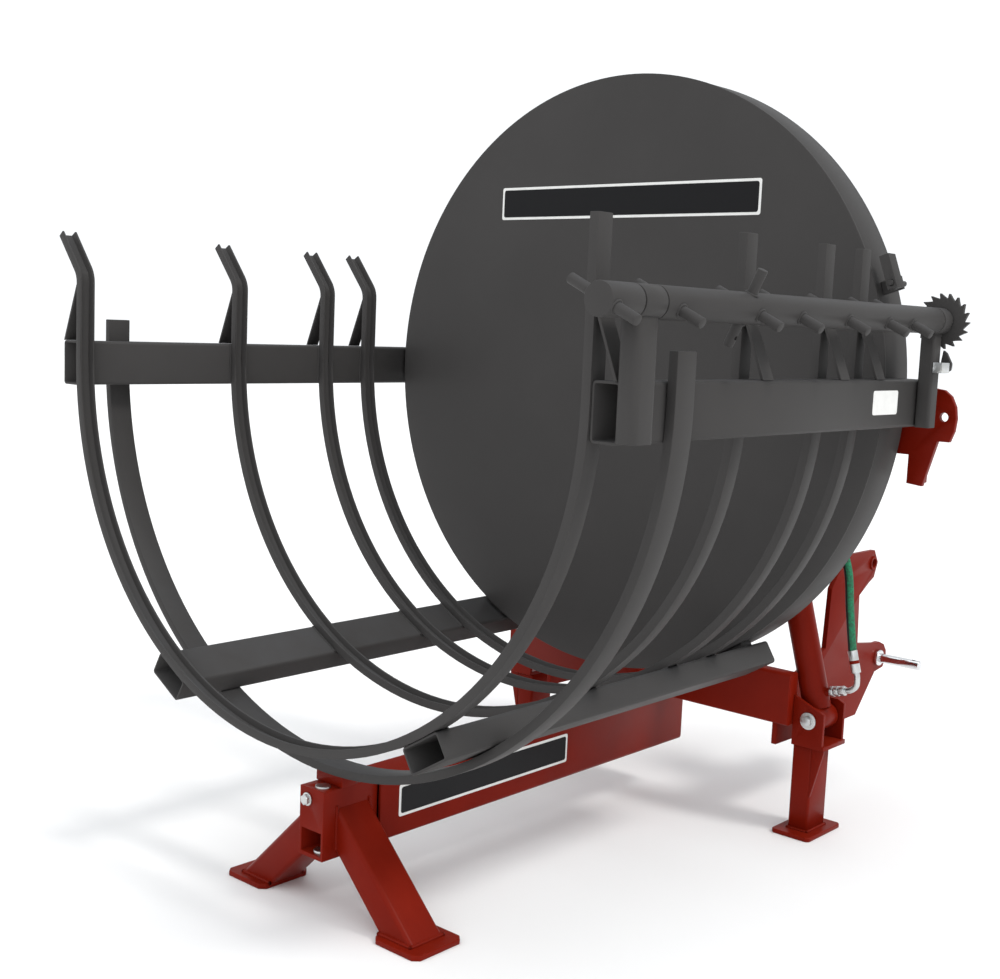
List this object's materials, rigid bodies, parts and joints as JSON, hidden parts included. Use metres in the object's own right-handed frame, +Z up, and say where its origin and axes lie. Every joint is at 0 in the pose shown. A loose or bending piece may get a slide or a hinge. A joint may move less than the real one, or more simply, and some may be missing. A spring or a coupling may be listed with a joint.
{
  "type": "firewood bundler",
  "caption": "Tractor-mounted firewood bundler: round back plate, ribbed open cradle with strap-tension shaft and ratchet, tipped sideways by a hydraulic cylinder on a steel floor frame.",
  "frame": {"origin": "centre of the overall box in plan, on the floor under the feet", "axes": "+X to the right seen from the open end, +Y from the open end towards the tractor, +Z up"},
  "size_m": [1.8702, 2.186, 2.029],
  "materials": {
    "anthracite_paint": "satin anthracite powder coat",
    "red_paint": "satin red powder coat",
    "zinc_steel": "bright zinc plate",
    "chrome_steel": "hard chrome",
    "hose_rubber": "black hydraulic hose with a green stripe"
  },
  "bodies": {
    "frame": {"main_beam": "red_paint", "head_box": "red_paint", "head_bolt": "zinc_steel", "head_plug_top": "zinc_steel", "head_plug_bottom": "zinc_steel", "hoop_saddle": "red_paint", "front_leg_left": "red_paint", "front_leg_right": "red_paint", "front_foot_left": "red_paint", "front_foot_right": "red_paint", "rear_crossbeam": "red_paint", "side_plate_left": "red_paint", "side_plate_right": "red_paint", "link_pin_left": "chrome_steel", "link_pin_right": "chrome_steel", "rear_leg_left": "red_paint", "rear_leg_right": "red_paint", "rear_foot_left": "red_paint", "rear_foot_right": "red_paint", "cylinder_clevis": "red_paint", "left_leg_cap": "red_paint", "clevis_pin": "zinc_steel", "mast": "red_paint", "hub_housing": "red_paint", "top_link_bracket": "red_paint", "stop_bracket": "red_paint"},
    "drum": {"disc_plate": "anthracite_paint", "disc_rim": "anthracite_paint", "disc_spider": "anthracite_paint", "cylinder_lug": "anthracite_paint", "rib_1": "anthracite_paint", "rib_2": "anthracite_paint", "rib_3": "anthracite_paint", "rib_4": "anthracite_paint", "left_rail": "anthracite_paint", "right_rail": "anthracite_paint", "lower_left_rail": "anthracite_paint", "lower_right_rail": "anthracite_paint", "track_hoop": "anthracite_paint", "left_gusset_1": "anthracite_paint", "left_gusset_2": "anthracite_paint", "left_gusset_3": "anthracite_paint", "left_gusset_4": "anthracite_paint", "right_gusset_1": "anthracite_paint", "right_gusset_2": "anthracite_paint", "right_gusset_3": "anthracite_paint", "right_gusset_4": "anthracite_paint", "near_post": "anthracite_paint", "far_post": "anthracite_paint", "pawl_bolt": "zinc_steel", "latch_bracket": "anthracite_paint"},
    "tension_shaft": {"tension_shaft": "anthracite_paint", "ratchet_wheel": "anthracite_paint"},
    "pawl": {"pawl": "anthracite_paint"},
    "latch": {"latch_lever": "anthracite_paint"},
    "barrel": {"cylinder_barrel": "red_paint", "hose_fitting": "zinc_steel", "hose": "hose_rubber", "hose_coupling": "zinc_steel"},
    "rod": {"piston_rod": "chrome_steel"}
  },
  "joints": [
    {"name": "drum_turn", "type": "hinge", "parent": "frame", "child": "drum", "pos_m": [-0.03985, 0.151, 1.229], "axis": [0, -1, 0], "range_deg": [0, 75]},
    {"name": "shaft_turn", "type": "hinge", "parent": "drum", "child": "tension_shaft", "pos_m": [0.86015, -0.349, 1.408], "axis": [0, 1, 0], "continuous": true},
    {"name": "pawl_lift", "type": "hinge", "parent": "drum", "child": "pawl", "pos_m": [0.87815, 0.218, 1.303], "axis": [0, 1, 0], "range_deg": [0, 40]},
    {"name": "latch_swing", "type": "hinge", "parent": "drum", "child": "latch", "pos_m": [0.76015, 0.161, 1.492], "axis": [0, 1, 0], "range_deg": [0, 95]},
    {"name": "cylinder_swing", "type": "hinge", "parent": "frame", "child": "barrel", "pos_m": [0.47515, 0.492, 0.325], "axis": [0, -1, 0], "range_deg": [0, 6.85]},
    {"name": "rod_slide", "type": "slide", "parent": "barrel", "child": "rod", "axis": [-0.2756, 0, 0.9613], "range_m": [0, 0.276]}
  ],
  "couplings": [
    {"joint": "cylinder_swing", "follows": "drum_turn", "ratio": 0.0907},
    {"joint": "rod_slide", "follows": "drum_turn", "m_per_rad": 0.2101}
  ]
}
